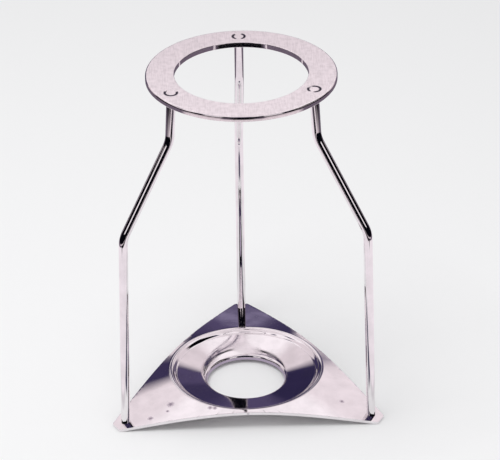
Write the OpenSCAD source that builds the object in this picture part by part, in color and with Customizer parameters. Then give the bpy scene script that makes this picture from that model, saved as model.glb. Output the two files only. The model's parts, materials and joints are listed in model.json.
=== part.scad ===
// Laboratory tripod stand: a flat top ring on three cranked rod legs, over a pressed
// three-lobed base plate with a round dish and a central hole.
//
// The stand's axis is Z and the table is the plane z = 0. Every leg lies in a plane
// through the axis. Profiles are drawn as [radius, height].

/* [Stand] */
// Height of the ring's top face over the table
stand_h = 192; // [160:1:240]

/* [Top ring] */
// Outer diameter of the ring
ring_od = 100; // [90:1:120]
// Diameter of the ring's opening
ring_id = 70; // [50:1:78]
// Thickness of the ring
ring_t = 3; // [2:0.25:5]
// Width of the broken edges round the ring
ring_edge = 0.3; // [0.1:0.05:0.6]

/* [Legs] */
// Diameter of the leg rod
rod_d = 4.75; // [4:0.25:6]
// Distance of each leg's lower end from the axis
foot_r = 76.5; // [75:0.5:88]
// Height from the ring's underside down to the upper bend
upper_run_h = 24.6; // [18:0.5:34]
// Height of the slanted run between the two bends
slant_run_h = 49.4; // [40:0.5:60]
// Outward lean of the run above the upper bend, in degrees
upper_lean = 3.4; // [0:0.2:5]
// Outward lean of the run below the lower bend, in degrees
lower_lean = 1.4; // [0:0.2:3]
// Radius of both bends, on the rod's centre line
bend_r = 15; // [10:1:20]

/* [Riveted ends] */
// Diameter of the turned-down end that passes through a hole
spigot_d = 3.2; // [2.4:0.1:3.6]
// Diameter of the rivet head in the ring's top face
ring_head_d = 6.1; // [5:0.1:7]
// Diameter of the rivet head under the base plate
plate_head_d = 5; // [4.4:0.1:5.4]
// Depth of the countersink in the ring
ring_sink = 1.4; // [1:0.1:1.6]
// Depth of the countersink under the base plate
plate_sink = 0.8; // [0.5:0.1:1]
// Width of the broken edge round a head and round its countersink
rivet_edge = 0.2; // [0.12:0.02:0.3]
// Radial clearance between an end and its hole or countersink
rivet_clearance = 0.1; // [0.05:0.01:0.2]
// How far a head lies below the face round it
head_drop = 0.05; // [0.02:0.01:0.1]
// Clearance between a leg's shoulder and the plate
shoulder_clearance = 0.02; // [0.01:0.01:0.1]

/* [Base plate] */
// Thickness of the sheet
sheet_t = 1.6; // [1.2:0.1:2]
// Distance from a leg's lower end out to the tip's cut
tip_margin = 6.1; // [5:0.1:8]
// Width of the cut across each tip, before its corners are rounded
tip_w = 7.2; // [6.4:0.2:12]
// Radius of the tips' corners in plan
tip_corner_r = 1.5; // [0.5:0.25:2.5]
// Width of the level strip that each tip stands on
foot_flat = 1.5; // [1:0.1:2.5]
// Fall of the three lobes, in degrees
lobe_fall = 12.8; // [12:0.1:16]
// Fall of the dish floor towards the hole, in degrees
dish_fall = 12.9; // [8:0.1:15]

/* [Rim and dish] */
// Radius of the circular crest, where the plate is highest
crest_r = 42; // [38:0.5:43]
// Steepest slope of the step inside the crest, in degrees
step_slope = 45; // [30:1:60]
// Length of that steepest slope, between the bends above and below it
step_run = 0.4; // [0.2:0.1:1.5]
// Radius over the crest, on the upper surface
crest_bend_r = 4; // [3:0.1:5]
// Radius at the foot of the step, on the upper surface
step_foot_r = 2.5; // [1.5:0.1:4]
// Diameter of the central hole
hole_d = 42.4; // [36:0.2:54]
// Radius inside the bend of the hole's turned-down lip
lip_inner_r = 0.3; // [0.2:0.05:0.6]
// Height of the lip's straight wall below its bend
lip_wall_h = 1; // [0.6:0.1:1.4]

/* [Hidden] */

// Directions of the three legs round the axis
BACK = 90;
LEFT = 210;
RIGHT = 330;

STEEL = "silver";
CHROME = "gainsboro";

$fn = 96;
// Flats along each bend of the sheet's section, and round each corner of its tips
BEND_STEPS = 10;
CORNER_STEPS = 4;
// How far a cutting shape runs past the solid that it cuts
past = 1;
// A bend is a little thicker than the rod, and the straight runs reach this far into it
bend_swell = 0.04;
bend_lap = 0.4;

// Top ring
ring_r = ring_od / 2;
ring_hole_r = ring_id / 2;
ring_under_z = stand_h - ring_t;
rivet_circle_r = (ring_r + ring_hole_r) / 2;
spigot_r = spigot_d / 2;
// How far a spigot's root lies inside the rod
spigot_root = rod_d / 4;

// Base plate in plan: distances of the tips and the straight sides from the axis
tip_r = foot_r + tip_margin;
side_r = tip_r * cos(60) + tip_w / 2 * sin(60);

// Base plate: heights of the upper surface
sheet_rise = sheet_t / cos(lobe_fall);
tip_z = sheet_rise - foot_flat * tan(lobe_fall);
foot_z = tip_z + (tip_r - foot_r) * tan(lobe_fall);
crest_start = [
    crest_r + crest_bend_r * sin(lobe_fall),
    tip_z + (tip_r - crest_r - crest_bend_r * sin(lobe_fall)) * tan(lobe_fall)
];
crest_centre = crest_start - crest_bend_r * [sin(lobe_fall), cos(lobe_fall)];
crest_z = crest_centre[1] + crest_bend_r;

// Step: the slope between the crest's bend and the bend at its foot
step_start = crest_centre + crest_bend_r * [-sin(step_slope), cos(step_slope)];
step_end = step_start - step_run * [cos(step_slope), sin(step_slope)];
step_foot_centre = step_end + step_foot_r * [-sin(step_slope), cos(step_slope)];
floor_start = step_foot_centre - step_foot_r * [-sin(dish_fall), cos(dish_fall)];

// Lip round the hole
hole_r = hole_d / 2;
lip_bend_r = sheet_t + lip_inner_r;
lip_centre_r = hole_r + lip_bend_r;
floor_end_r = lip_centre_r - lip_bend_r * sin(dish_fall);
floor_end = [floor_end_r, floor_start[1] - (floor_start[0] - floor_end_r) * tan(dish_fall)];
lip_centre = [lip_centre_r, floor_end[1] - lip_bend_r * cos(dish_fall)];
lip_edge_z = lip_centre[1] - lip_wall_h;

// Leg: the corners of its centre line, from the ring down to the plate
leg_top = [rivet_circle_r, ring_under_z];
upper_corner = leg_top + upper_run_h * [tan(upper_lean), -1];
lower_corner_z = upper_corner[1] - slant_run_h;
lower_corner = [foot_r - (lower_corner_z - foot_z) * tan(lower_lean), lower_corner_z];
leg_foot = [foot_r, foot_z];

// Change of direction at corner b of the line a, b, c
function turn_at(a, b, c) = acos(((b - a) * (c - b)) / (norm(b - a) * norm(c - b)));

// The point at distance d from point a, towards point b
function towards(a, b, d) = a + d * (b - a) / norm(b - a);

// Direction from point a to point b, anticlockwise from the radius
function direction(a, b) = atan2(b[1] - a[1], b[0] - a[0]);

// Points along an arc, from one direction to another
function arc(centre, r, from, to, steps) = [
    for (i = [0 : steps])
        let (a = from + (to - from) * i / steps)
            centre + r * [cos(a), sin(a)]
];

// ---- Base plate's sheet ----

// Section of the sheet from beyond the tips in to the lip of the hole: along the upper
// surface, and back along the lower one
module plate_section() {
    crest_from = 90 - lobe_fall;
    crest_to = 90 + step_slope;
    step_foot_from = step_slope - 90;
    step_foot_to = dish_fall - 90;
    lip_from = 90 + dish_fall;
    beyond_tip = crest_start + 1.2 * tip_r * [cos(lobe_fall), -sin(lobe_fall)];
    polygon([
        beyond_tip,
        each arc(crest_centre, crest_bend_r, crest_from, crest_to, BEND_STEPS),
        each arc(step_foot_centre, step_foot_r, step_foot_from, step_foot_to, BEND_STEPS),
        each arc(lip_centre, lip_bend_r, lip_from, 180, BEND_STEPS),
        [hole_r, lip_edge_z],
        [hole_r + sheet_t, lip_edge_z],
        each arc(lip_centre, lip_inner_r, 180, lip_from, BEND_STEPS),
        each arc(step_foot_centre, step_foot_r + sheet_t, step_foot_to, step_foot_from, BEND_STEPS),
        each arc(crest_centre, crest_bend_r - sheet_t, crest_to, crest_from, BEND_STEPS),
        beyond_tip - sheet_t * [sin(lobe_fall), cos(lobe_fall)]
    ]);
}

// Straight-sided triangle with its three tips cut off square and rounded
module plate_outline() {
    centre_x = tip_r - tip_corner_r;
    centre_y = (side_r - tip_corner_r - centre_x * cos(60)) / sin(60);
    polygon([
        for (az = [BACK, LEFT, RIGHT], side = [-1, 1])
            let (
                centre = centre_x * [cos(az), sin(az)] + side * centre_y * [-sin(az), cos(az)],
                from = side < 0 ? az - 60 : az
            )
                each arc(centre, tip_corner_r, from, from + 60, CORNER_STEPS)
    ]);
}

// ---- Riveted ends ----

// Cone of a countersunk head, as [radius, height] below a shoulder at height 0. The face
// that the head is let into is at -depth, and the cone stops at the broken edge.
function head_cone(shank_r, head_r, depth, sink) = [
    [shank_r, sink - depth],
    [head_r, rivet_edge - depth]
];

// Riveted end along Z: the shank, and the head that lies just below the face at -depth
module rivet_end(head_r, depth, sink) {
    rotate_extrude()
        polygon([
            [0, spigot_root],
            [spigot_r, spigot_root],
            each head_cone(spigot_r, head_r, depth, sink),
            [head_r - rivet_edge, head_drop - depth],
            [0, head_drop - depth]
        ]);
}

// Cut for a riveted end: the hole and its countersink, past both faces of the sheet
module rivet_hole(head_r, depth, sink) {
    hole_shank_r = spigot_r + rivet_clearance;
    sink_r = head_r + rivet_clearance;
    rotate_extrude()
        polygon([
            [0, past],
            [hole_shank_r, past],
            each head_cone(hole_shank_r, sink_r, depth, sink),
            [sink_r + rivet_edge, -depth],
            [sink_r + rivet_edge, -depth - past],
            [0, -depth - past]
        ]);
}

// Frame at a leg's foot: origin on the plate's upper surface, Z square to the sheet
module at_foot() {
    translate([leg_foot[0], 0, leg_foot[1]])
        rotate([0, lobe_fall, 0])
            children();
}

// Frame at a leg's top: origin on the ring's underside, Z pointing down
module at_ring() {
    translate([leg_top[0], 0, leg_top[1]])
        rotate([180, 0, 0])
            children();
}

// ---- Pieces ----

// Rectangle of the ring's section, with broken edges
module ring_section() {
    polygon([
        [ring_hole_r + ring_edge, 0],
        [ring_r - ring_edge, 0],
        [ring_r, ring_edge],
        [ring_r, ring_t - ring_edge],
        [ring_r - ring_edge, ring_t],
        [ring_hole_r + ring_edge, ring_t],
        [ring_hole_r, ring_t - ring_edge],
        [ring_hole_r, ring_edge]
    ]);
}

// Flat annular ring with three countersunk holes
module top_ring() {
    color(STEEL)
        difference() {
            translate([0, 0, ring_under_z])
                rotate_extrude()
                    ring_section();
            for (az = [BACK, LEFT, RIGHT])
                rotate(az)
                    at_ring()
                        rivet_hole(ring_head_d / 2, ring_t, ring_sink);
        }
}

// A straight run of rod on the line from point a to point b of the leg's plane. It stops
// short of each point by the distance given.
module rod_run(a, b, short_a, short_b) {
    start = towards(a, b, short_a);
    translate([start[0], 0, start[1]])
        rotate([0, 90 - direction(a, b), 0])
            cylinder(d = rod_d, h = norm(b - a) - short_a - short_b);
}

// The bend that replaces corner b of the centre line a, b, c
module rod_bend(a, b, c) {
    turn = turn_at(a, b, c);
    middle = towards(b, a, 1) + towards(b, c, 1) - b;
    centre = towards(b, middle, bend_r / cos(turn / 2));
    translate([centre[0], 0, centre[1]])
        rotate([90, 0, 0])
            rotate_extrude(angle = turn, start = direction(centre, b) - turn / 2)
                translate([bend_r, 0])
                    circle(d = rod_d + bend_swell);
}

// The cranked rod, trimmed to its shoulders at the ring and the plate
module cranked_rod() {
    upper_set = bend_r * tan(turn_at(leg_top, upper_corner, lower_corner) / 2);
    lower_set = bend_r * tan(turn_at(upper_corner, lower_corner, leg_foot) / 2);
    spare = 2 * rod_d;
    difference() {
        union() {
            rod_run(leg_top, upper_corner, -rod_d, upper_set - bend_lap);
            rod_bend(leg_top, upper_corner, lower_corner);
            rod_run(upper_corner, lower_corner, upper_set - bend_lap, lower_set - bend_lap);
            rod_bend(upper_corner, lower_corner, leg_foot);
            rod_run(lower_corner, leg_foot, lower_set - bend_lap, -rod_d);
        }
        at_ring()
            translate([-spare, -spare, -spare])
                cube([2 * spare, 2 * spare, spare]);
        at_foot()
            translate([-spare, -spare, shoulder_clearance - spare])
                cube([2 * spare, 2 * spare, spare]);
    }
}

// One leg in the direction az: the rod with a riveted end above and below
module leg(az) {
    rotate(az) {
        cranked_rod();
        at_ring()
            rivet_end(ring_head_d / 2, ring_t, ring_sink);
        at_foot()
            rivet_end(plate_head_d / 2, sheet_t, plate_sink);
    }
}

module leg_back() {
    color(CHROME)
        leg(BACK);
}

module leg_left() {
    color(CHROME)
        leg(LEFT);
}

module leg_right() {
    color(CHROME)
        leg(RIGHT);
}

// Pressed sheet: the revolved section cut to its outline, level under the tips
module base_plate() {
    color(CHROME)
        difference() {
            intersection() {
                rotate_extrude()
                    plate_section();
                linear_extrude(height = crest_z + past)
                    plate_outline();
            }
            for (az = [BACK, LEFT, RIGHT])
                rotate(az)
                    at_foot()
                        rivet_hole(plate_head_d / 2, sheet_t, plate_sink);
        }
}

top_ring();
leg_back();
leg_left();
leg_right();
base_plate();
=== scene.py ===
"""Laboratory tripod stand: the looks of its support ring, three riveted legs and pressed base plate.

Lengths are in metres in the stand's own frame: Z up along its axis, the table at z = 0 and the
back leg towards +Y.
"""

import json
import logging
import math
from collections.abc import Callable, Iterable
from dataclasses import dataclass, replace
from enum import Enum

import bmesh
import bpy
from mathutils import Matrix, Vector


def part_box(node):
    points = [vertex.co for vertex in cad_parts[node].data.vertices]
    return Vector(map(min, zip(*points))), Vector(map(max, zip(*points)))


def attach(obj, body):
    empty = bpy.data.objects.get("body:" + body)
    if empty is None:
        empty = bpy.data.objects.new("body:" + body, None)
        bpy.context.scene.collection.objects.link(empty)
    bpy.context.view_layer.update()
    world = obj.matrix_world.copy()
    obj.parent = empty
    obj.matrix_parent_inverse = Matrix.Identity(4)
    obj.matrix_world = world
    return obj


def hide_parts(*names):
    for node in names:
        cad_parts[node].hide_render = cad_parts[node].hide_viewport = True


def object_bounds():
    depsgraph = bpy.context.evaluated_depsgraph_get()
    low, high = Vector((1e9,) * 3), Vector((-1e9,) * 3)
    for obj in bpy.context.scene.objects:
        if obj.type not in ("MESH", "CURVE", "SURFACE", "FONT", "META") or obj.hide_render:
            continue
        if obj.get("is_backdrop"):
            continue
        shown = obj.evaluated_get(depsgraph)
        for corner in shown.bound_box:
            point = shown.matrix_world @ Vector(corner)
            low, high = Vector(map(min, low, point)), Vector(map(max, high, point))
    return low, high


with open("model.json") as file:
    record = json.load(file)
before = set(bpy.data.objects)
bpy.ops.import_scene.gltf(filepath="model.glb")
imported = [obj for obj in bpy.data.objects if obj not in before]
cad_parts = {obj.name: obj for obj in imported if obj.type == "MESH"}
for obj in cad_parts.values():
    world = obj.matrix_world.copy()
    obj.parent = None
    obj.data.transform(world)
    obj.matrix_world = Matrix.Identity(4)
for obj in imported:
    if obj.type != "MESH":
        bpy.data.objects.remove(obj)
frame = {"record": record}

CAD_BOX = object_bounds()
MM = 0.001
WELD = 1e-7  # vertices closer than this are one
SHARP_TURN = math.radians(50)  # faces that turn by more than this meet in a sharp edge
UP = Vector((0, 0, 1))
Colour = tuple[float, float, float]
Socket = bpy.types.NodeSocket
log = logging.getLogger("tripod_stand")


class Leg(Enum):
    """The three legs, each with its direction round the stand's axis, in degrees from +X."""

    BACK = 90
    LEFT = 210
    RIGHT = 330

    @property
    def node(self) -> str:
        """Name of the leg's node in the frame."""
        return f"leg_{self.name.lower()}"

    @property
    def turn(self) -> Matrix:
        """Rotation that takes a leg drawn towards +X into its place."""
        return Matrix.Rotation(math.radians(self.value), 4, "Z")


def mount_radius(name: str) -> float:
    """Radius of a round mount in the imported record.

    Args:
        name: The mount's name.

    Returns:
        The radius in metres.
    """
    mounts = {mount["name"]: mount for mount in frame["record"]["mounts"]}
    return mounts[name]["dims"]["r_mm"] * MM


def towards(start: Vector, end: Vector, distance: float) -> Vector:
    """Point at a distance from start on the line to end."""
    return start + (end - start).normalized() * distance


def leaning(angle: float) -> Vector:
    """Unit vector in the XZ plane that leans outwards from upright by an angle in radians."""
    return Vector((math.sin(angle), 0, math.cos(angle)))


def activate(piece: bpy.types.Object) -> None:
    """Selects one piece alone and makes it the active one.

    Args:
        piece: The object.
    """
    bpy.ops.object.select_all(action="DESELECT")
    piece.select_set(True)
    bpy.context.view_layer.objects.active = piece


# ---- Modelling ----


class Element(Enum):
    """What a selection in edit mode is made of."""

    VERTEX = "VERT"
    EDGE = "EDGE"


class Workpiece:
    """One mesh object that is shaped in edit mode, the way it is done by hand."""

    def __init__(self, name: str) -> None:
        """Takes the primitive that was added last as the workpiece, and opens it for editing.

        Args:
            name: Name for the object and its mesh.
        """
        self.object = bpy.context.active_object
        self.object.name = name
        self.object.data.name = name
        bpy.ops.object.transform_apply(location=True, rotation=True, scale=True)
        bpy.ops.object.mode_set(mode="EDIT")
        bpy.ops.mesh.select_mode(type="VERT")

    @classmethod
    def circle(cls, name: str, radius: float, vertices: int, place: Matrix) -> "Workpiece":
        """Starts from an open circle.

        Args:
            name: Name for the object.
            radius: Radius of the circle.
            vertices: Number of vertices round it.
            place: Where the circle's centre is and which way it faces.

        Returns:
            The new workpiece.
        """
        bpy.ops.object.select_all(action="DESELECT")
        bpy.ops.mesh.primitive_circle_add(
            radius=radius,
            vertices=vertices,
            location=place.translation,
            rotation=place.to_euler(),
        )
        return cls(name)

    @classmethod
    def point(cls, name: str, place: Vector) -> "Workpiece":
        """Starts from a single vertex, which a profile is then drawn from.

        Args:
            name: Name for the object.
            place: Where the vertex is.

        Returns:
            The new workpiece.
        """
        bpy.ops.object.select_all(action="DESELECT")
        bpy.ops.mesh.primitive_plane_add(size=MM, location=place)
        piece = cls(name)
        bpy.ops.mesh.merge(type="CENTER")
        return piece

    def select(self, chosen: Callable[[object], bool], kind: Element) -> None:
        """Selects the vertices or edges for which chosen is true, and nothing else.

        Args:
            chosen: Test of one element.
            kind: Which elements are tested.
        """
        bpy.ops.mesh.select_mode(type=kind.value)
        bpy.ops.mesh.select_all(action="DESELECT")
        mesh = bmesh.from_edit_mesh(self.object.data)
        for element in mesh.verts if kind is Element.VERTEX else mesh.edges:
            element.select_set(chosen(element))
        mesh.select_flush_mode()
        bmesh.update_edit_mesh(self.object.data)

    def select_all(self) -> None:
        """Selects the whole mesh."""
        bpy.ops.mesh.select_all(action="SELECT")

    def extrude(self, by: Vector) -> None:
        """Extrudes the selection and moves it by a vector."""
        bpy.ops.mesh.extrude_region_move(TRANSFORM_OT_translate={"value": by})

    def extrude_evenly(self, by: Vector, steps: int) -> None:
        """Extrudes the selection along a vector in equal steps."""
        for _ in range(steps):
            self.extrude(by / steps)

    def extrude_wider(self, by: Vector, factor: float) -> None:
        """Extrudes the selection, moves it, and scales it round its own centre.

        Args:
            by: The move.
            factor: The scale.
        """
        self.extrude(by)
        bpy.ops.transform.resize(value=(factor, factor, factor))

    def spin(self, angle: float, centre: Vector, axis: Vector, steps: int) -> None:
        """Spins the selection, anticlockwise when looked at against the axis.

        Args:
            angle: Angle in radians.
            centre: A point on the axis.
            axis: Direction of the axis.
            steps: Number of steps.
        """
        bpy.ops.mesh.spin(steps=steps, angle=angle, center=centre, axis=-axis)

    def trim(self, point: Vector, outwards: Vector) -> None:
        """Cuts the whole solid at a plane, drops what lies beyond it and closes the cut.

        Args:
            point: A point on the plane.
            outwards: Normal of the plane, towards the side that is dropped.
        """
        self.select_all()
        bpy.ops.mesh.bisect(
            plane_co=point,
            plane_no=outwards,
            use_fill=True,
            clear_outer=True,
            threshold=WELD,
        )

    def soften(self, edges: Callable[[bmesh.types.BMEdge], bool], width: float, steps: int) -> None:
        """Rounds the chosen edges with a bevel.

        Args:
            edges: Test of one edge.
            width: How far the bevel reaches on each side of the edge.
            steps: Number of flats across the bevel.
        """
        self.select(edges, Element.EDGE)
        bpy.ops.mesh.bevel(offset=width, segments=steps, affect="EDGES", clamp_overlap=False)

    def weld(self) -> None:
        """Merges doubles and turns all faces outwards."""
        self.select_all()
        bpy.ops.mesh.remove_doubles(threshold=WELD)
        bpy.ops.mesh.normals_make_consistent(inside=False)

    def close(self) -> bpy.types.Object:
        """Leaves edit mode and returns the object."""
        bpy.ops.object.mode_set(mode="OBJECT")
        return self.object


def apply_modifier(piece: bpy.types.Object, kind: str, **settings: object) -> None:
    """Adds a modifier to a piece and applies it.

    Args:
        piece: The object.
        kind: Type of the modifier.
        settings: Values for the modifier's properties.
    """
    activate(piece)
    modifier = piece.modifiers.new(kind.title(), kind)
    for name, value in settings.items():
        setattr(modifier, name, value)
    bpy.ops.object.modifier_apply(modifier=modifier.name)


def cut_away(piece: bpy.types.Object, tool: bpy.types.Object) -> None:
    """Takes one object's volume out of another, and removes the tool.

    Args:
        piece: The object that is cut.
        tool: The object that cuts it.
    """
    apply_modifier(piece, "BOOLEAN", operation="DIFFERENCE", solver="EXACT", object=tool)
    bpy.data.objects.remove(tool)


def shade_smooth(piece: bpy.types.Object, crease: float) -> None:
    """Shades a piece smooth, with its broad faces as true as they are.

    Args:
        piece: The object.
        crease: Edges that turn by more than this stay sharp, in degrees.
    """
    activate(piece)
    bpy.ops.object.shade_smooth_by_angle(angle=math.radians(crease))
    apply_modifier(piece, "WEIGHTED_NORMAL", mode="FACE_AREA", weight=100, keep_sharp=True)


def sharp(edge: bmesh.types.BMEdge) -> bool:
    """Whether two faces meet at this edge at something like a right angle."""
    return edge.is_manifold and edge.calc_face_angle() > SHARP_TURN


@dataclass(frozen=True)
class RivetForm:
    """A shank with a countersunk head, as a riveted end or as the hole for one.

    Attributes:
        shank_r: Radius of the shank.
        head_r: Radius of the head where it is widest.
        sink: Height of the head's cone.
        flare: Width of the broken edge round the head.
    """

    shank_r: float
    head_r: float
    sink: float
    flare: float

    def drill(self, name: str, place: Matrix, thickness: float, sides: int) -> bpy.types.Object:
        """Makes the drill for this form.

        Args:
            name: Name for the drill.
            place: Frame whose origin is on the face that the head is let into, Z outwards.
            thickness: Thickness of the sheet that is drilled.
            sides: Number of sides of the drill.

        Returns:
            The drill as a closed solid.
        """
        up = place.to_3x3() @ UP
        past = thickness / 2
        root = place @ Matrix.Translation((0, 0, -thickness - past))
        drill = Workpiece.circle(name, self.shank_r, sides, root)
        drill.select_all()
        drill.extrude(up * (past + thickness - self.sink))
        drill.extrude_wider(up * (self.sink - self.flare), self.head_r / self.shank_r)
        drill.extrude_wider(up * self.flare, 1 + self.flare / self.head_r)
        drill.extrude(up * past)
        bpy.ops.mesh.edge_face_add()
        drill.select(lambda vertex: vertex.is_boundary, Element.VERTEX)
        bpy.ops.mesh.edge_face_add()
        drill.weld()
        return drill.close()


# ---- Finishes ----


class NodeBoard:
    """A material with short ways to add and join its nodes."""

    def __init__(self, name: str) -> None:
        """Makes an empty material.

        Args:
            name: Name for the material.
        """
        self.material = bpy.data.materials.new(name)
        self.material.use_nodes = True
        self.tree = self.material.node_tree
        self.tree.nodes.clear()
        self.output = self.add("OutputMaterial")

    def add(
        self, kind: str, inputs: dict[str | int, object] | None = None, **settings: object
    ) -> bpy.types.Node:
        """Adds one node.

        Args:
            kind: The node's type without the ShaderNode in front.
            inputs: Values for its sockets, or sockets to join to them.
            settings: Values for its properties.

        Returns:
            The node.
        """
        node = self.tree.nodes.new(f"ShaderNode{kind}")
        for name, value in settings.items():
            setattr(node, name, value)
        for key, value in (inputs or {}).items():
            if isinstance(value, Socket):
                self.tree.links.new(value, node.inputs[key])
            else:
                node.inputs[key].default_value = value
        return node

    def place(self) -> Socket:
        """Place on the object, in metres."""
        return self.add("TexCoord").outputs["Object"]

    def math(self, operation: str, *values: object) -> Socket:
        """Result of a math node.

        Args:
            operation: The node's operation.
            values: Numbers or sockets, in order.

        Returns:
            The node's output.
        """
        node = self.add("Math", dict(enumerate(values)), operation=operation)
        return node.outputs[0]

    def noise(self, vector: Socket, size: float, detail: float = 2.0) -> Socket:
        """Noise with features of about the given size.

        Args:
            vector: Where the noise is read.
            size: Size of its features in metres.
            detail: How much finer noise is laid over it.

        Returns:
            A value round 0.5.
        """
        values = {"Vector": vector, "Scale": 1 / size, "Detail": detail}
        return self.add("TexNoise", values).outputs["Fac"]

    def stretch(self, vector: Socket, factors: Vector) -> Socket:
        """The place with each axis scaled by its factor."""
        return self.add("Mapping", {"Vector": vector, "Scale": factors}).outputs[0]

    def flatten(self, vector: Socket) -> Socket:
        """The place with its height left out."""
        return self.stretch(vector, Vector((1, 1, 0)))

    def remap(self, value: Socket, source: tuple, target: tuple) -> Socket:
        """A value moved from one range to another and held inside it.

        Args:
            value: The value.
            source: Low and high end of the range it comes from.
            target: Low and high end of the range it goes to, as numbers or sockets.

        Returns:
            The result.
        """
        return self.add("MapRange", dict(enumerate((value, *source, *target)))).outputs[0]

    def blend(self, factor: Socket, low: Colour | Socket, high: Colour | Socket) -> Socket:
        """Colour between two colours.

        Args:
            factor: 0 for the low colour and 1 for the high one.
            low: The colour at 0.
            high: The colour at 1.

        Returns:
            The colour.
        """
        node = self.add("Mix", data_type="RGBA")
        sockets = {socket.identifier: socket for socket in node.inputs}
        pairs = (("Factor_Float", factor), ("A_Color", low), ("B_Color", high))
        for name, value in pairs:
            if isinstance(value, Socket):
                self.tree.links.new(value, sockets[name])
            else:
                sockets[name].default_value = (*value, 1)
        return next(socket for socket in node.outputs if socket.identifier == "Result_Color")

    def metal(self, tint: Socket, roughness: Socket, height: Socket) -> bpy.types.Material:
        """Makes the material a metal.

        Args:
            tint: Its colour.
            roughness: Its roughness.
            height: Height of its fine relief, in metres.

        Returns:
            The material, ready for a piece.
        """
        bump = self.add("Bump", {"Height": height, "Distance": 1.0, "Strength": 1.0})
        inputs = {"Base Color": tint, "Metallic": 1.0, "Roughness": roughness, "Normal": bump.outputs[0]}
        return self.finish(self.add("BsdfPrincipled", inputs).outputs[0])

    def finish(self, shader: Socket) -> bpy.types.Material:
        """Joins the last shader to the material and returns the material."""
        self.tree.links.new(shader, self.output.inputs["Surface"])
        return self.material


@dataclass(frozen=True)
class Speck:
    """A faint grey mark in the plating.

    Attributes:
        x: Its place to the right of the axis.
        y: Its place behind the axis.
        radius: Its radius.
    """

    x: float
    y: float
    radius: float


@dataclass(frozen=True)
class Chrome:
    """Bright chrome plate with the slight waves of formed steel under it.

    Attributes:
        name: Name for the material.
        tint: Colour of the metal.
        dulling: Share of its brightness that the metal keeps where it is hazy.
        roughness: Lowest and highest roughness.
        haze_size: Size of the hazy areas.
        haze_range: Values of the haze's noise at which the metal is hazy and clear.
        wave_size: Length of the broad waves.
        wave_height: Height of the broad waves.
        grain_size: Size of the fine polishing marks.
        grain_height: Height of the fine polishing marks.
        specks: Marks in the plating.
        speck_tint: Colour of the marks.
        speck_roughness: How much rougher the marks are.
        speck_fade: Where a mark begins and ends to fade, in its own radii.
        speck_ripple: Size of the unevenness of a mark's edge.
    """

    name: str
    tint: Colour = (0.90, 0.865, 0.885)
    dulling: float = 0.9
    roughness: tuple[float, float] = (0.03, 0.08)
    haze_size: float = 9 * MM
    haze_range: tuple[float, float] = (0.35, 0.65)
    wave_size: float = 14 * MM
    wave_height: float = 0.001 * MM
    grain_size: float = 0.5 * MM
    grain_height: float = 0.0006 * MM
    specks: tuple[Speck, ...] = ()
    speck_tint: Colour = (0.42, 0.37, 0.43)
    speck_roughness: float = 0.35
    speck_fade: tuple[float, float] = (0.8, 1.7)
    speck_ripple: float = 0.7 * MM

    def material(self) -> bpy.types.Material:
        """Builds the material.

        Returns:
            The material, ready for a piece.
        """
        board = NodeBoard(self.name)
        place = board.place()
        haze = board.noise(place, self.haze_size, detail=4)
        waves = board.math("MULTIPLY", board.noise(place, self.wave_size, detail=0), self.wave_height)
        grain = board.math("MULTIPLY", board.noise(place, self.grain_size, detail=3), self.grain_height)
        dull = tuple(self.dulling * channel for channel in self.tint)
        colour = board.blend(board.remap(haze, self.haze_range, (0, 1)), dull, self.tint)
        rough = board.remap(haze, self.haze_range[::-1], self.roughness)
        for speck in self.specks:
            mark = self.mark(board, place, speck)
            colour = board.blend(mark, self.speck_tint, colour)
            spared = board.math("MULTIPLY", mark, self.speck_roughness)
            rough = board.math("SUBTRACT", board.math("ADD", rough, self.speck_roughness), spared)
        return board.metal(colour, rough, board.math("ADD", waves, grain))

    def mark(self, board: NodeBoard, place: Socket, speck: Speck) -> Socket:
        """Mask of one speck: 0 in its middle and 1 away from it.

        Args:
            board: The material that the speck is in.
            place: Place on the object.
            speck: The speck.

        Returns:
            The mask.
        """
        flat = board.flatten(place)
        distance = board.add("VectorMath", {0: flat, 1: (speck.x, speck.y, 0)}, operation="DISTANCE")
        ripple = board.math("MULTIPLY", board.noise(place, self.speck_ripple), speck.radius)
        away = board.math("ADD", distance.outputs["Value"], ripple)
        return board.remap(away, tuple(radii * speck.radius for radii in self.speck_fade), (0, 1))


@dataclass(frozen=True)
class GrooveShade:
    """Painted shade: the dark line in the groove round a riveted head.

    Attributes:
        place: Place of the rivet.
        radius: Radius of the line.
        gaps: Where no shade is painted on the line, as directions from +X and half widths in degrees.
        fade: Distances from the middle of the line between which it fades out.
        gap_blur: How softly the line ends at a gap.
        tint: Colour of the painted shade.
    """

    place: Vector
    radius: float
    gaps: tuple[tuple[float, float], ...]
    fade: tuple[float, float] = (0.45 * MM, 0.9 * MM)
    gap_blur: float = 0.06
    tint: Colour = (0.03, 0.025, 0.05)

    def mask(self, board: NodeBoard, place: Socket) -> Socket:
        """Mask of the line, broken at the gaps: 1 on it and 0 beside it.

        Args:
            board: The material that the line is in.
            place: Place on the object.

        Returns:
            The mask.
        """
        centred = board.add("VectorMath", {0: place, 1: self.place}, operation="SUBTRACT").outputs[0]
        flat = board.flatten(centred)
        away = board.add("VectorMath", {0: flat}, operation="LENGTH").outputs["Value"]
        off_line = board.math("ABSOLUTE", board.math("SUBTRACT", away, self.radius))
        mask = board.remap(off_line, self.fade, (1, 0))
        heading = board.add("VectorMath", {0: flat}, operation="NORMALIZE").outputs[0]
        for direction, half_width in self.gaps:
            middle = Matrix.Rotation(math.radians(direction), 3, "Z").col[0]
            along = board.add("VectorMath", {0: heading, 1: middle}, operation="DOT_PRODUCT")
            end = math.cos(math.radians(half_width))
            edge = (end - self.gap_blur, end + self.gap_blur)
            mask = board.math("MULTIPLY", mask, board.remap(along.outputs["Value"], edge, (1, 0)))
        return mask


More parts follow.
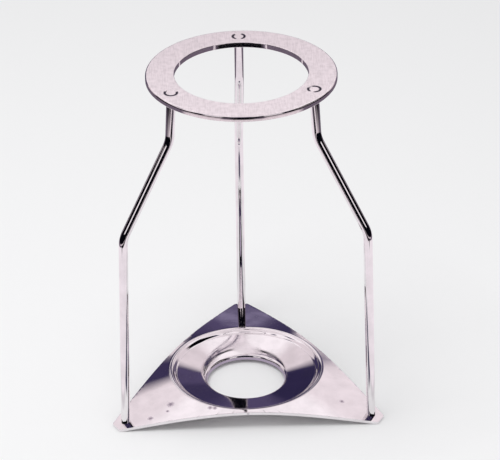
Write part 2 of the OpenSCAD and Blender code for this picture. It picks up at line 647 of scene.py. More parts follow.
@dataclass(frozen=True)
class BrushedSteel:
    """Plated steel with bright walls and a half matt top, rubbed in straight strokes along Y.

    Attributes:
        name: Name for the material.
        tint: Colour of the metal.
        dulling: Share of its brightness that the metal keeps where it is dull.
        tone_range: Values of the noise at which the metal is dull and bright.
        rough_range: Values of the noise at which the top is smoothest and roughest.
        top_roughness: Lowest and highest roughness of the top.
        wall_roughness: Roughness of the walls.
        stroke: Width and length of a stroke.
        stroke_depth: Depth of the strokes.
        mottle_size: Size of the mottled areas.
        rim: Depths under the top face between which the bright walls turn into the matt top.
    """

    name: str
    tint: Colour = (0.96, 0.91, 0.93)
    dulling: float = 0.84
    tone_range: tuple[float, float] = (0.38, 0.60)
    rough_range: tuple[float, float] = (0.62, 0.38)
    top_roughness: tuple[float, float] = (0.30, 0.40)
    wall_roughness: float = 0.05
    stroke: tuple[float, float] = (0.6 * MM, 9 * MM)
    stroke_depth: float = 0.005 * MM
    mottle_size: float = 3 * MM
    rim: tuple[float, float] = (0.14 * MM, 0.04 * MM)

    def material(self, top_z: float, groove_shades: Iterable[GrooveShade]) -> bpy.types.Material:
        """Builds the material.

        Args:
            top_z: Height of the top face.
            groove_shades: The painted shade in the grooves round the rivet heads.

        Returns:
            The material, ready for a piece.
        """
        board = NodeBoard(self.name)
        place = board.place()
        width, length = self.stroke
        lengthwise = board.stretch(place, Vector((1, width / length, 1)))
        strokes = board.noise(lengthwise, width, detail=3)
        mottle = board.noise(place, self.mottle_size, detail=4)
        mixed = board.math("ADD", board.math("MULTIPLY", strokes, 0.5), board.math("MULTIPLY", mottle, 0.5))
        dull = tuple(self.dulling * channel for channel in self.tint)
        colour = board.blend(board.remap(mixed, self.tone_range, (0, 1)), dull, self.tint)
        # Painted shade in the grooves round the rivet heads, laid over the metal's colour.
        for groove_shade in groove_shades:
            colour = board.blend(groove_shade.mask(board, place), colour, groove_shade.tint)
        height = board.add("SeparateXYZ", {"Vector": place}).outputs["Z"]
        top = board.remap(height, tuple(top_z - below for below in self.rim), (0, 1))
        matt = board.remap(mixed, self.rough_range, self.top_roughness)
        rough = board.remap(top, (0, 1), (self.wall_roughness, matt))
        depth = board.math("MULTIPLY", board.math("MULTIPLY", strokes, top), self.stroke_depth)
        return board.metal(colour, rough, depth)


# Where no shade is painted round each leg's rivet head, as directions from +X and half widths in degrees.
GROOVE_SHADE_GAPS: dict[Leg, tuple[tuple[float, float], ...]] = {
    Leg.BACK: ((95, 32), (268, 26)),
    Leg.LEFT: ((85, 62),),
    Leg.RIGHT: ((127, 20), (243, 20)),
}
CHROMED_ROD = Chrome("chromed_rod", wave_size=30 * MM, wave_height=0.006 * MM)
CHROMED_SHEET = Chrome(
    "chromed_sheet",
    specks=(
        Speck(-41.8 * MM, -31.5 * MM, 2.0 * MM),
        Speck(-52.8 * MM, -39.8 * MM, 1.5 * MM),
        Speck(-20.6 * MM, -38.7 * MM, 1.3 * MM),
        Speck(-18.0 * MM, -39.3 * MM, 1.3 * MM),
        Speck(-43.5 * MM, -36.5 * MM, 1.0 * MM),
        Speck(51.0 * MM, -31.0 * MM, 1.3 * MM),
    ),
)
BRUSHED_RING = BrushedSteel("brushed_ring")


# ---- The stand's pieces ----


def ride_as(piece: bpy.types.Object, node: str) -> None:
    """Lets a piece stand for a node of the frame, and reports it.

    Args:
        piece: The modelled piece.
        node: The node that it stands for.
    """
    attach(piece, "root")
    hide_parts(node)
    log.info("%s stands for %s: %d faces", piece.name, node, len(piece.data.polygons))


@dataclass
class SupportRing:
    """The flat ring that carries the glassware, with three countersunk rivet holes.

    Attributes:
        outer_r: Outer radius.
        inner_r: Radius of the opening.
        under_z: Height of the underside.
        top_z: Height of the top face.
        edge: Width of the broken edges.
        roll: Width of the upper outer edge, which the punch has rolled over.
        edge_steps: Number of flats across an edge.
        steps: Number of steps round the ring.
        hole: The rivet holes.
        drill_sides: Number of sides of a rivet hole.
        crease: Edges that turn by more than this stay sharp, in degrees.
    """

    outer_r: float
    inner_r: float
    under_z: float
    top_z: float
    edge: float = 0.3 * MM
    roll: float = 1.0 * MM
    edge_steps: int = 6
    steps: int = 240
    hole: RivetForm = RivetForm(1.7 * MM, 3.15 * MM, 1.4 * MM, 0.2 * MM)
    drill_sides: int = 64
    crease: float = 40

    @property
    def rivet_circle_r(self) -> float:
        """Radius of the circle that the rivets lie on."""
        return (self.outer_r + self.inner_r) / 2

    def build(self) -> bpy.types.Object:
        """Models the ring.

        Returns:
            The ring's object.
        """
        across = self.outer_r - self.inner_r
        height = self.top_z - self.under_z
        section = Workpiece.point("support_ring", Vector((self.inner_r, 0, self.under_z)))
        section.extrude(Vector((across, 0, 0)))
        section.select_all()
        section.extrude(Vector((0, 0, height)))
        for x, z, width in (
            (self.outer_r, self.top_z, self.roll),
            (self.outer_r, self.under_z, self.edge),
            (self.inner_r, self.top_z, self.edge),
            (self.inner_r, self.under_z, self.edge),
        ):
            corner = Vector((x, 0, z))
            section.select(lambda vertex: (vertex.co - corner).length < WELD, Element.VERTEX)
            bpy.ops.mesh.bevel(
                offset=width, segments=self.edge_steps, affect="VERTICES", clamp_overlap=False
            )
        section.select_all()
        bpy.ops.mesh.delete(type="ONLY_FACE")
        section.select_all()
        section.spin(math.tau, Vector(), UP, self.steps)
        section.weld()
        ring = section.close()
        for leg in Leg:
            place = leg.turn @ Matrix.Translation((self.rivet_circle_r, 0, self.top_z))
            cut_away(ring, self.hole.drill(f"ring_drill_{leg.name}", place, height, self.drill_sides))
        shade_smooth(ring, self.crease)
        return ring

    def finish(self) -> bpy.types.Material:
        """Makes the ring's finish, with the painted shade in the grooves round the rivet heads.

        Returns:
            The material.
        """
        rivet = Vector((self.rivet_circle_r, 0, 0))
        # Painted shade round each rivet head, in the groove where it meets the ring.
        groove_shades = [GrooveShade(leg.turn @ rivet, self.hole.head_r, GROOVE_SHADE_GAPS[leg]) for leg in Leg]
        return BRUSHED_RING.material(self.top_z, groove_shades)

    def dress(self, ring: bpy.types.Object, brushed: bpy.types.Material) -> None:
        """Gives the ring its finish and its place in the frame.

        Args:
            ring: The modelled ring.
            brushed: The ring's finish.
        """
        ring.data.materials.append(brushed)
        ride_as(ring, "top_ring")


@dataclass
class RodLeg:
    """A cranked rod that is riveted into the ring above and into the plate below.

    It is drawn in the XZ plane, from its foot up, and turned into its place.

    Attributes:
        leg: Which of the three legs this is.
        top: Where its centre line meets the ring's underside, as radius and height.
        ring_t: Thickness of the ring.
        foot_r: Distance of its lower end from the axis.
        foot_z: Height of its lower end.
        plate_fall: Slope of the plate under the foot.
        sheet_t: Thickness of the plate.
        rod_r: Radius of the rod.
        upper_run: Height from the ring down to the upper bend.
        slant_run: Height between the bends.
        upper_lean: Lean of the run over the upper bend.
        lower_lean: Lean of the run under the lower bend.
        bend_r: Radius of the bends on the centre line.
        bend_steps: Number of steps round a bend.
        sides: Number of sides round the rod.
        ring_rivet: The riveted end in the ring.
        plate_rivet: The riveted end in the plate.
        head_drop: How far a rivet head lies below the face round it.
        seat_gap: Gap between the rod's shoulder and the plate.
        brushed_depth: How far below the ring's face the rivet head is brushed with it.
        crease: Edges that turn by more than this stay sharp, in degrees.
    """

    leg: Leg
    top: Vector
    ring_t: float
    foot_r: float
    foot_z: float
    plate_fall: float
    sheet_t: float
    rod_r: float = 2.375 * MM
    upper_run: float = 24.6 * MM
    slant_run: float = 49.4 * MM
    upper_lean: float = math.radians(3.4)
    lower_lean: float = math.radians(1.4)
    bend_r: float = 15 * MM
    bend_steps: int = 24
    sides: int = 48
    ring_rivet: RivetForm = RivetForm(1.6 * MM, 3.05 * MM, 1.4 * MM, 0.2 * MM)
    plate_rivet: RivetForm = RivetForm(1.6 * MM, 2.5 * MM, 0.8 * MM, 0.2 * MM)
    head_drop: float = 0.05 * MM
    seat_gap: float = 0.02 * MM
    brushed_depth: float = 0.3 * MM
    crease: float = 35

    def centre_line(self) -> list[Vector]:
        """Works out the corners of the centre line.

        Returns:
            The corners, from the foot up to the ring's underside.
        """
        upper = self.top + Vector((self.upper_run * math.tan(self.upper_lean), 0, -self.upper_run))
        lower_z = upper.z - self.slant_run
        lower_x = self.foot_r - (lower_z - self.foot_z) * math.tan(self.lower_lean)
        foot = Vector((self.foot_r, 0, self.foot_z))
        return [foot, Vector((lower_x, 0, lower_z)), upper, self.top]

    def build(self) -> bpy.types.Object:
        """Models the leg.

        Returns:
            The leg's object.
        """
        foot, lower, upper, top = self.centre_line()
        spare = 3 * self.rod_r
        start = towards(foot, lower, -spare)
        upright = (lower - foot).to_track_quat("Z", "Y").to_matrix().to_4x4()
        place = Matrix.Translation(start) @ upright
        rod = Workpiece.circle(f"rod_{self.leg.name.lower()}", self.rod_r, self.sides, place)
        rod.select_all()
        at = start
        for before, corner, after in ((foot, lower, upper), (lower, upper, top)):
            at = self.run_and_bend(rod, at, before, corner, after)
        rod.extrude(towards(upper, top, (top - upper).length + spare) - at)
        self.rivet(rod, top, UP, 0.0, self.ring_t, self.ring_rivet)
        self.rivet(rod, foot, -leaning(self.plate_fall), -self.seat_gap, self.sheet_t, self.plate_rivet)
        rod.weld()
        piece = rod.close()
        piece.data.transform(self.leg.turn)
        shade_smooth(piece, self.crease)
        return piece

    def dress(self, rod: bpy.types.Object, chrome: bpy.types.Material, brushed: bpy.types.Material) -> None:
        """Gives the leg its finishes and its place in the frame.

        Args:
            rod: The modelled leg.
            chrome: Finish of the rod.
            brushed: Finish of the rivet head that shows in the ring's face.
        """
        rod.data.materials.append(chrome)
        rod.data.materials.append(brushed)
        brushed_from = self.top.z + self.ring_t - self.brushed_depth
        for face in rod.data.polygons:
            face.material_index = int(face.center.z > brushed_from)
        ride_as(rod, self.leg.node)

    def run_and_bend(
        self, rod: Workpiece, at: Vector, before: Vector, corner: Vector, after: Vector
    ) -> Vector:
        """Extrudes a straight run up to the next bend and spins the bend.

        Args:
            rod: The rod, with its open end selected.
            at: Where the open end is.
            before: The centre line's corner before this one.
            corner: The corner that is bent.
            after: The corner after it.

        Returns:
            Where the open end is now.
        """
        ahead = (corner - before).normalized()
        beyond = (after - corner).normalized()
        turn = ahead.angle(beyond)
        setback = self.bend_r * math.tan(turn / 2)
        bend_start = corner - ahead * setback
        rod.extrude(bend_start - at)
        axis = ahead.cross(beyond).normalized()
        rod.spin(turn, bend_start + axis.cross(ahead) * self.bend_r, axis, self.bend_steps)
        return corner + beyond * setback

    def rivet(
        self, rod: Workpiece, seat: Vector, out: Vector, gap: float, depth: float, form: RivetForm
    ) -> None:
        """Trims the rod to its shoulder and draws the riveted end out of it.

        Args:
            rod: The rod.
            seat: Where the centre line meets the face that the shoulder sits on.
            out: Direction from the rod through the hole.
            gap: How far the shoulder lies past the seat.
            depth: Thickness that the riveted end passes through.
            form: Form of the riveted end.
        """
        rod.trim(seat + out * gap, out)
        bpy.ops.mesh.select_mode(type="FACE")
        bpy.ops.mesh.inset(thickness=self.rod_r - form.shank_r)
        rod.extrude(out * (depth - gap - form.sink))
        rod.extrude_wider(out * (form.sink - form.flare), form.head_r / form.shank_r)
        rod.extrude_wider(out * (form.flare - self.head_drop), 1 - form.flare / form.head_r)


@dataclass
class BasePlate:
    """The pressed sheet: three lobes round a raised rim, and a dish with a hole inside it.

    Attributes:
        hole_r: Radius of the hole.
        tip_r: Distance of the tips' cuts from the axis.
        side_r: Distance of the straight sides from the axis.
        sheet_t: Thickness of the sheet.
        corner_r: Radius of the tips' corners.
        corner_cuts: Number of cuts that round one corner.
        foot_flat: Width of the level strip under each tip.
        foot_r: Distance of the rivets from the axis.
        lobe_fall: Fall of the lobes.
        dish_fall: Fall of the dish's floor.
        crest_r: Radius of the crest.
        crest_bend_r: Radius over the crest, on the upper surface.
        step_slope: Steepest slope inside the crest.
        step_run: Length of that slope.
        step_foot_r: Radius at its foot.
        lip_bend_r: Radius over the lip of the hole.
        lip_wall: Height of the lip's straight wall.
        steps: Number of steps round the plate.
        lobe_rings: Number of rings of faces across the lobes.
        floor_rings: Number of rings of faces across the dish's floor.
        crest_steps: Number of steps over the crest.
        bend_steps: Number of steps round the slope's foot, and over the lip.
        edge: Width of the broken edges.
        edge_steps: Number of flats across a broken edge.
        hole: The rivet holes, which open downwards.
        drill_sides: Number of sides of a rivet hole.
        crease: Edges that turn by more than this stay sharp, in degrees.
    """

    hole_r: float
    tip_r: float
    side_r: float
    sheet_t: float = 1.6 * MM
    corner_r: float = 1.5 * MM
    corner_cuts: int = 5
    foot_flat: float = 1.5 * MM
    foot_r: float = 76.5 * MM
    lobe_fall: float = math.radians(12.8)
    dish_fall: float = math.radians(12.9)
    crest_r: float = 42 * MM
    crest_bend_r: float = 4 * MM
    step_slope: float = math.radians(45)
    step_run: float = 0.4 * MM
    step_foot_r: float = 2.5 * MM
    lip_bend_r: float = 1.9 * MM
    lip_wall: float = 1 * MM
    steps: int = 360
    lobe_rings: int = 24
    floor_rings: int = 8
    crest_steps: int = 16
    bend_steps: int = 12
    edge: float = 0.12 * MM
    edge_steps: int = 2
    hole: RivetForm = RivetForm(1.7 * MM, 2.6 * MM, 0.8 * MM, 0.2 * MM)
    drill_sides: int = 48
    crease: float = 30

    def height(self, radius: float) -> float:
        """Height of the lobes' upper surface at a distance from the axis."""
        tip_z = self.sheet_t / math.cos(self.lobe_fall) - self.foot_flat * math.tan(self.lobe_fall)
        return tip_z + (self.tip_r - radius) * math.tan(self.lobe_fall)

    def build(self) -> bpy.types.Object:
        """Models the plate.

        Returns:
            The plate's object.
        """
        sheet = self.profile()
        sheet.select_all()
        sheet.spin(math.tau, Vector(), UP, self.steps)
        sheet.weld()
        plate = sheet.close()
        self.thicken(plate)
        self.trim_outline(plate)
        for leg in Leg:
            cut_away(plate, self.rivet_drill(leg))
        shade_smooth(plate, self.crease)
        return plate

    def dress(self, plate: bpy.types.Object) -> None:
        """Gives the plate its finish and its place in the frame.

        Args:
            plate: The modelled plate.
        """
        plate.data.materials.append(CHROMED_SHEET.material())
        ride_as(plate, "base_plate")

    def profile(self) -> Workpiece:
        """Draws the upper surface's profile from beyond the tips to the lip of the hole.

        Returns:
            The profile, as a line of edges in the XZ plane.
        """
        inwards = Vector((0, -1, 0))
        crest_start_r = self.crest_r + self.crest_bend_r * math.sin(self.lobe_fall)
        outside_r = 1.2 * self.tip_r
        at = Vector((outside_r, 0, self.height(outside_r)))
        line = Workpiece.point("plate", at)
        crest_start = Vector((crest_start_r, 0, self.height(crest_start_r)))
        line.extrude_evenly(crest_start - at, self.lobe_rings)
        crest_centre = crest_start - leaning(self.lobe_fall) * self.crest_bend_r
        line.spin(self.lobe_fall + self.step_slope, crest_centre, inwards, self.crest_steps)
        step_out = leaning(-self.step_slope)
        step_down = Vector((-step_out.z, 0, step_out.x)) * self.step_run
        line.extrude(step_down)
        step_end = crest_centre + step_out * self.crest_bend_r + step_down
        foot_centre = step_end + step_out * self.step_foot_r
        line.spin(self.step_slope - self.dish_fall, foot_centre, -inwards, self.bend_steps)
        floor_out = leaning(-self.dish_fall)
        floor_start = foot_centre - floor_out * self.step_foot_r
        lip_x = self.hole_r + self.lip_bend_r
        floor_end_x = lip_x - self.lip_bend_r * math.sin(self.dish_fall)
        drop = (floor_start.x - floor_end_x) * math.tan(self.dish_fall)
        floor_end = Vector((floor_end_x, 0, floor_start.z - drop))
        line.extrude_evenly(floor_end - floor_start, self.floor_rings)
        lip_centre = floor_end - floor_out * self.lip_bend_r
        line.spin(math.pi / 2 - self.dish_fall, lip_centre, inwards, self.bend_steps)
        line.extrude(-UP * self.lip_wall)
        return line

    def thicken(self, plate: bpy.types.Object) -> None:
        """Gives the upper surface the sheet's thickness, downwards."""
        apply_modifier(
            plate,
            "SOLIDIFY",
            thickness=self.sheet_t,
            offset=-1,
            use_even_offset=True,
            use_quality_normals=True,
        )

    def outline_planes(self) -> Iterable[tuple[float, float]]:
        """Planes round the outline, each as a direction and a distance from the axis.

        Yields:
            The straight sides, the tips' cuts and the small cuts that round the corners.
        """
        sixth = math.pi / 3
        centre_x = self.tip_r - self.corner_r
        centre_y = (self.side_r - self.corner_r - centre_x * math.cos(sixth)) / math.sin(sixth)
        for leg in Leg:
            azimuth = math.radians(leg.value)
            yield azimuth, self.tip_r
            yield azimuth + sixth, self.side_r
            for side in (-1, 1):
                for cut in range(1, self.corner_cuts):
                    away = side * sixth * cut / self.corner_cuts
                    reach = centre_x * math.cos(away) + abs(centre_y * math.sin(away))
                    yield azimuth + away, reach + self.corner_r

    def trim_outline(self, plate: bpy.types.Object) -> None:
        """Cuts the sheet to its outline and level under the tips, and breaks its edges.

        Args:
            plate: The whole round sheet.
        """
        bpy.context.view_layer.objects.active = plate
        sheet = Workpiece("plate")
        for azimuth, distance in self.outline_planes():
            outwards = Vector((math.cos(azimuth), math.sin(azimuth), 0))
            sheet.trim(outwards * distance, outwards)
        sheet.trim(Vector(), -UP)
        sheet.weld()
        sheet.soften(sharp, self.edge, self.edge_steps)
        sheet.close()

    def rivet_drill(self, leg: Leg) -> bpy.types.Object:
        """Makes the drill for one leg's rivet hole, from below.

        Args:
            leg: The leg.

        Returns:
            The drill.
        """
        tilt = Matrix.Rotation(self.lobe_fall, 4, "Y") @ Matrix.Rotation(math.pi, 4, "X")
        seat = Matrix.Translation((self.foot_r, 0, self.height(self.foot_r)))
        place = leg.turn @ seat @ tilt @ Matrix.Translation((0, 0, self.sheet_t))
        return self.hole.drill(f"plate_drill_{leg.name}", place, self.sheet_t, self.drill_sides)


# ---- Studio ----

# Glow colours of the cards. The cards glow though they are no lamps, and paint the light and shade of a
# room into the reflections in the polished metal: pale glows are painted softboxes and lit walls, dark ones
# painted dark surroundings and shade.
BRIGHT_GLOW: Colour = (1.06, 1.00, 1.03)
WHITE_GLOW: Colour = (0.92, 0.86, 0.90)
PALE_GLOW: Colour = (0.92, 0.835, 0.87)
SOFT_GLOW: Colour = (0.86, 0.79, 0.82)
LIGHT_GLOW: Colour = (0.80, 0.715, 0.75)
GREY_GLOW: Colour = (0.55, 0.48, 0.51)
NAVY: Colour = (0.046, 0.036, 0.092)
INK: Colour = (0.028, 0.022, 0.066)
PLUM: Colour = (0.082, 0.064, 0.140)
LAVENDER: Colour = (0.21, 0.18, 0.29)
HEATHER: Colour = (0.15, 0.125, 0.19)
LILAC: Colour = (0.43, 0.375, 0.475)
DUSK: Colour = (0.15, 0.12, 0.16)
BLACK: Colour = (0.002, 0.002, 0.004)


@dataclass(frozen=True)
class Patch:
    """A soft-edged area of one colour on a card.

    Attributes:
        azimuth: Direction of its middle, clockwise from +Y, in degrees.
        half_width: How far it reaches to each side of that, in degrees.
        near: Its lower end on an upright card, or the inner one on a flat card.
        far: Its upper or outer end.
        colour: Its colour, or nothing for an opening in the card.
        side_blur: Width of its soft sides, in degrees.
        end_blur: Width of its soft ends.
        spread: How much wider it gets on each side, in degrees for each metre upwards or outwards.
    """

    azimuth: float
    half_width: float
    near: float
    far: float
    colour: Colour | None
    side_blur: float = 2.0
    end_blur: float = 0.02
    spread: float = 0.0

    def mask(self, board: NodeBoard, azimuth: Socket, reach: Socket) -> Socket:
        """Mask of the patch: 1 inside it and 0 away from it.

        Args:
            board: The card's material.
            azimuth: Direction of a place on the card, in degrees.
            reach: Its height, or its distance from the axis.

        Returns:
            The mask.
        """
        turned = board.math("WRAP", board.math("SUBTRACT", azimuth, self.azimuth), 180.0, -180.0)
        away = board.math("ABSOLUTE", turned)
        if self.spread:
            away = board.math("SUBTRACT", away, board.math("MULTIPLY", reach, self.spread))
        sides = self.inside(board, away, self.half_width, self.side_blur)
        off_middle = board.math("ABSOLUTE", board.math("SUBTRACT", reach, (self.near + self.far) / 2))
        ends = self.inside(board, off_middle, (self.far - self.near) / 2, self.end_blur)
        return board.math("MULTIPLY", sides, ends)

    @staticmethod
    def inside(board: NodeBoard, away: Socket, half: float, blur: float) -> Socket:
        """Mask of the places that are less than half away from a middle."""
        return board.remap(away, (half - blur / 2, half + blur / 2), (1, 0))


def both_sides(patch: Patch) -> tuple[Patch, Patch]:
    """A patch, and the same one mirrored to the other side of the stand."""
    return patch, replace(patch, azimuth=-patch.azimuth)


@dataclass(frozen=True)
class Paint:
    """The colours of one card.

    Attributes:
        upright: Whether the card stands round the axis, and doesn't lie across it.
        ground: Colour of the card outside its patches.
        patches: The patches, in the order in which they are laid over it.
    """

    upright: bool
    ground: Colour
    patches: tuple[Patch, ...]

    def shader(self, board: NodeBoard) -> Socket:
        """Builds the card's glow.

        Args:
            board: The card's material.

        Returns:
            The shader.
        """
        place = board.place()
        axes = board.add("SeparateXYZ", {"Vector": place}).outputs
        azimuth = board.math("DEGREES", board.math("ARCTAN2", axes["X"], axes["Y"]))
        flat = board.add("VectorMath", {0: board.flatten(place)}, operation="LENGTH")
        reach = axes["Z"] if self.upright else flat.outputs["Value"]
        colour, solid = self.ground, None
        for patch in self.patches:
            mask = patch.mask(board, azimuth, reach)
            if patch.colour is None:
                solid = board.math("SUBTRACT", 1.0, mask)
                continue
            colour = board.blend(mask, colour, patch.colour)
            if solid is not None:
                solid = board.math("MAXIMUM", solid, mask)
        glow = board.add("Emission", {"Color": colour, "Strength": 1.0}).outputs[0]
        if solid is None:
            return glow
        clear = board.add("BsdfTransparent").outputs[0]
        return board.add("MixShader", {0: solid, 1: clear, 2: glow}).outputs[0]


# Later patches are laid over earlier ones. On the wall and overhead, 0 degrees is behind the stand,
# 90 to its right and 180 in front of it, on the side that the stand is looked at from.
# The patches are painted reflections: bright ones stand for softboxes and lit walls, dark ones for dark
# surroundings and shade.
WALL = Paint(
    upright=True,
    ground=LIGHT_GLOW,
    patches=(
        Patch(0, 180, -0.20, 0.16, DUSK, end_blur=0.10),
        Patch(32, 16, -0.20, 0.46, HEATHER, side_blur=8.0, end_blur=0.16),
        Patch(28, 8, 0.50, 1.10, PALE_GLOW, side_blur=3.0, end_blur=0.05),
        Patch(-28, 8, 0.90, 1.10, PALE_GLOW, side_blur=3.0, end_blur=0.05),
        Patch(-10, 27, 0.50, 0.83, NAVY, side_blur=3.0, end_blur=0.14),
        Patch(-1.5, 6.0, 0.79, 1.10, BRIGHT_GLOW, side_blur=3.0, end_blur=0.05),
        Patch(9.5, 3.5, 0.75, 1.10, NAVY, side_blur=1.5, end_blur=0.02),
        Patch(-29.5, 14.5, -0.20, 0.60, NAVY, side_blur=3.0, end_blur=0.04),
        Patch(1, 4.6, -0.20, 0.60, NAVY, side_blur=1.5, end_blur=0.04, spread=18.0),
        Patch(5.5, 3.5, 0.50, 0.74, BRIGHT_GLOW, side_blur=2.0, end_blur=0.04),
        Patch(-4, 2.5, 0.52, 0.74, BRIGHT_GLOW, side_blur=2.0, end_blur=0.04),
        Patch(-14, 31, -0.20, 0.17, NAVY, side_blur=3.0, end_blur=0.04),
        Patch(-9, 5.5, 0.46, 0.76, INK, side_blur=4.0, end_blur=0.08),
        Patch(-5.5, 3.5, 0.24, 0.50, INK, side_blur=3.0, end_blur=0.06),
        Patch(14, 5, 0.50, 0.78, PLUM, side_blur=4.0, end_blur=0.08),
        Patch(0, 5, 0.08, 0.235, PLUM, side_blur=4.0, end_blur=0.06),
        Patch(0, 6, 0.119, 0.140, LAVENDER, side_blur=4.0, end_blur=0.010),
        Patch(90, 24, 0.77, 1.10, BLACK, side_blur=4.0, end_blur=0.03),
        Patch(180, 115, -0.20, 0.58, BLACK, side_blur=6.0, end_blur=0.04),
        Patch(180, 65, -0.20, 1.10, BLACK, side_blur=4.0),
        *both_sides(Patch(145, 11, 0.38, 1.10, BRIGHT_GLOW, side_blur=3.0, end_blur=0.03)),
    ),
)
SCREEN = Paint(
    upright=True,
    ground=LIGHT_GLOW,
    patches=(
        Patch(180, 125, 0.0, 1.0, None),
        *both_sides(Patch(30, 10, 0.20, 0.60, PALE_GLOW, side_blur=3.0)),
        Patch(0, 55, 0.39, 0.60, BRIGHT_GLOW, end_blur=0.06),
    ),
)
OVERHEAD = Paint(
    upright=False,
    ground=LIGHT_GLOW,
    patches=(
        Patch(0, 180, 0.0, 1.00, BRIGHT_GLOW, end_blur=0.20),
        Patch(0, 180, 0.0, 0.52, SOFT_GLOW, end_blur=0.15),
        Patch(92, 27, 0.64, 1.40, BLACK, side_blur=4.0, end_blur=0.04),
        Patch(-76, 10, 0.58, 0.84, NAVY, side_blur=5.0, end_blur=0.06),
        Patch(180, 65, 0.70, 1.30, NAVY, side_blur=4.0, end_blur=0.04),
        Patch(180, 12, 0.54, 0.75, NAVY, side_blur=4.0, end_blur=0.04),
    ),
)
TABLE = Paint(
    upright=False,
    ground=DUSK,
    patches=(
        Patch(0, 180, -0.01, 0.105, None, end_blur=0.020),
        Patch(0, 180, 0.105, 0.300, WHITE_GLOW, end_blur=0.02),
        *both_sides(Patch(135, 20, 0.390, 0.48, GREY_GLOW, side_blur=5.0, end_blur=0.01)),
        Patch(180, 120, 0.46, 2.00, BLACK, side_blur=10.0, end_blur=0.06),
        Patch(180, 42, 0.268, 0.378, BLACK, side_blur=8.0, end_blur=0.01),
        Patch(180, 13, 0.268, 0.60, BLACK, side_blur=6.0, end_blur=0.01),
        Patch(180, 70, 0.380, 0.425, LIGHT_GLOW, side_blur=8.0, end_blur=0.01),
        # Painted shadow of the plate's front edge on the table, seen only in reflections.
        Patch(180, 34, 0.073, 0.106, NAVY, side_blur=6.0, end_blur=0.006),
        # Painted shade on the table under the hole, seen only in reflections.
        Patch(0, 180, -0.01, 0.022, LILAC, end_blur=0.002),
    ),
)


@dataclass(frozen=True)
class Viewpoint:
    """The camera: a long lens that looks down on the stand.

    Attributes:
        place: Where the camera is.
        azimuth: Direction it looks in, clockwise from +Y, in degrees.
        fall: How far it looks down, in degrees.
        roll: How far it is rolled, in degrees.
        lens: Focal length in millimetres on a 36 mm sensor.
        clip: Nearest and farthest distance that it sees.
    """

    place: tuple[float, float, float] = (-0.03448, -1.3434, 0.86883)
    azimuth: float = 1.614
    fall: float = 29.854
    roll: float = -0.822
    lens: float = 208.42
    clip: tuple[float, float] = (0.01, 50)

    def build(self) -> None:
        """Makes the scene's camera."""
        azimuth, fall, roll = (math.radians(angle) for angle in (self.azimuth, self.fall, self.roll))
        level_ahead = Vector((math.sin(azimuth), math.cos(azimuth), 0))
        forward = level_ahead * math.cos(fall) - UP * math.sin(fall)
        level_right = Vector((math.cos(azimuth), -math.sin(azimuth), 0))
        level_up = level_right.cross(forward)
        right = level_right * math.cos(roll) + level_up * math.sin(roll)
        up = level_up * math.cos(roll) - level_right * math.sin(roll)
        bpy.ops.object.camera_add(location=self.place)
        camera = bpy.context.active_object
        camera.name = "viewpoint"
        turn = Matrix((right, up, -forward)).transposed().to_4x4()
        camera.matrix_world = Matrix.Translation(self.place) @ turn
        camera.data.lens = self.lens
        camera.data.clip_start, camera.data.clip_end = self.clip
        bpy.context.scene.camera = camera


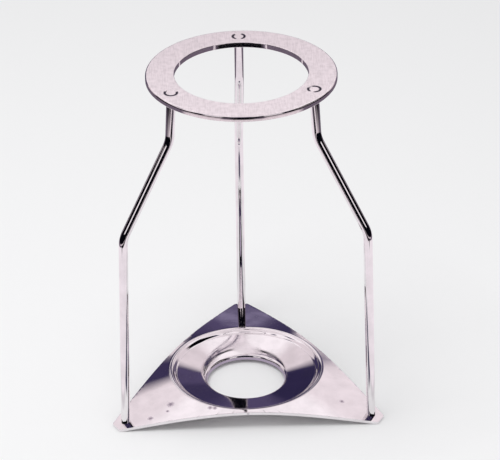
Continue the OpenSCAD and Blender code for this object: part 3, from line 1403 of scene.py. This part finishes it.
@dataclass(frozen=True)
class Studio:
    """Plain pale floor, soft light, and glowing cards, painted with a room's light and shade, that only the
    polished metal reflects.

    Attributes:
        floor_size: Side of the square floor.
        pale: Colour of the floor and of the surroundings.
        daylight: Strength of the even light from all round.
        lamp_power: Power of the lamp overhead, in watts.
        lamp_size: Side of that lamp.
        lamp_place: Where that lamp hangs.
        room_r: Radius of the wall card round the stand.
        room_h: Height of the overhead card.
        overlap: Radius of the flat cards as a multiple of the wall card's.
        table_z: Height of the table card, just over the floor.
        screen_r: Distance of the screen card from the axis.
        screen_z: Heights of its lower and upper edge.
        card_sides: Number of sides round a card.
    """

    floor_size: float = 12.0
    pale: Colour = (0.90, 0.90, 0.905)
    daylight: float = 0.70
    lamp_power: float = 8.0
    lamp_size: float = 0.8
    lamp_place: tuple[float, float, float] = (-0.25, -0.15, 1.3)
    room_r: float = 1.2
    room_h: float = 1.0
    overlap: float = 1.02
    table_z: float = 0.5 * MM
    screen_r: float = 0.35
    screen_z: tuple[float, float] = (0.285, 0.50)
    card_sides: int = 96

    def build(self) -> None:
        """Sets up the floor, the lights and the cards."""
        self.floor()
        self.surroundings()
        self.lamp()
        self.flat_card("overhead_card", self.room_h, OVERHEAD)
        self.flat_card("table_card", self.table_z, TABLE)
        self.upright_card("wall_card", self.room_r, 0.0, self.room_h, WALL)
        self.upright_card("screen_card", self.screen_r, *self.screen_z, SCREEN)

    def floor(self) -> None:
        """Lays the floor."""
        bpy.ops.object.select_all(action="DESELECT")
        bpy.ops.mesh.primitive_plane_add(size=self.floor_size)
        floor = bpy.context.active_object
        floor.name = "floor"
        board = NodeBoard("pale_floor")
        shader = board.add("BsdfDiffuse", {"Color": (*self.pale, 1)})
        floor.data.materials.append(board.finish(shader.outputs[0]))
        floor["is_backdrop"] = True

    def surroundings(self) -> None:
        """Lights the scene evenly from all round."""
        world = bpy.data.worlds.new("pale_surroundings")
        bpy.context.scene.world = world
        world.use_nodes = True
        background = world.node_tree.nodes["Background"]
        background.inputs["Color"].default_value = (*self.pale, 1)
        background.inputs["Strength"].default_value = self.daylight

    def lamp(self) -> None:
        """Hangs the lamp that gives the soft shadow."""
        bpy.ops.object.light_add(type="AREA", location=self.lamp_place)
        lamp = bpy.context.active_object
        lamp.name = "softbox"
        lamp.rotation_euler = (Vector() - lamp.location).to_track_quat("-Z", "Y").to_euler()
        lamp.data.energy = self.lamp_power
        lamp.data.size = self.lamp_size
        lamp.visible_glossy = False

    def card(self, name: str, paint: Paint) -> None:
        """Turns the object made last into a glowing card, painted with light and shade, that shows in
        polished metal alone.

        Args:
            name: Name for the card.
            paint: The card's colours.
        """
        bpy.ops.object.transform_apply(location=True)
        card = bpy.context.active_object
        card.name = name
        card.visible_camera = False
        card.visible_diffuse = False
        card.visible_shadow = False
        card.visible_transmission = False
        card.visible_volume_scatter = False
        board = NodeBoard(name)
        material = board.finish(paint.shader(board))
        material.cycles.emission_sampling = "NONE"
        card.data.materials.append(material)
        card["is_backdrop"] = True

    def flat_card(self, name: str, height: float, paint: Paint) -> None:
        """Adds a card that lies across the axis.

        Args:
            name: Name for the card.
            height: Its height.
            paint: Its colours.
        """
        bpy.ops.mesh.primitive_circle_add(
            radius=self.overlap * self.room_r,
            vertices=self.card_sides,
            fill_type="NGON",
            location=(0, 0, height),
        )
        self.card(name, paint)

    def upright_card(self, name: str, radius: float, low: float, high: float, paint: Paint) -> None:
        """Adds a card that stands round the axis.

        Args:
            name: Name for the card.
            radius: Its distance from the axis.
            low: Height of its lower edge.
            high: Height of its upper edge.
            paint: Its colours.
        """
        bpy.ops.mesh.primitive_cylinder_add(
            radius=radius,
            depth=high - low,
            vertices=self.card_sides,
            end_fill_type="NOTHING",
            location=(0, 0, (low + high) / 2),
        )
        self.card(name, paint)


# ---- Making the stand ----


def main() -> None:
    """Builds the stand, its finishes, the studio and the camera."""
    logging.basicConfig(level=logging.INFO, format="%(name)s: %(message)s")
    bpy.ops.object.select_all(action="DESELECT")
    ring_low, ring_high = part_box("top_ring")
    plate_low, plate_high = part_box("base_plate")
    ring = SupportRing(ring_high.x, mount_radius("ring_opening"), ring_low.z, ring_high.z)
    plate = BasePlate(mount_radius("burner_hole"), plate_high.y, -plate_low.y)

    brushed = ring.finish()
    chrome = CHROMED_ROD.material()
    ring.dress(ring.build(), brushed)
    plate.dress(plate.build())
    for leg in Leg:
        rod = RodLeg(
            leg=leg,
            top=Vector((ring.rivet_circle_r, 0, ring.under_z)),
            ring_t=ring.top_z - ring.under_z,
            foot_r=plate.foot_r,
            foot_z=plate.height(plate.foot_r),
            plate_fall=plate.lobe_fall,
            sheet_t=plate.sheet_t,
        )
        rod.dress(rod.build(), chrome, brushed)

    Studio().build()
    Viewpoint().build()
    bpy.context.scene.view_settings.view_transform = "Standard"
    boxes = {"cad": CAD_BOX, "visual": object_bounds()}
    {name: [list(corner) for corner in box] for name, box in boxes.items()}


if __name__ == "__main__":
    main()
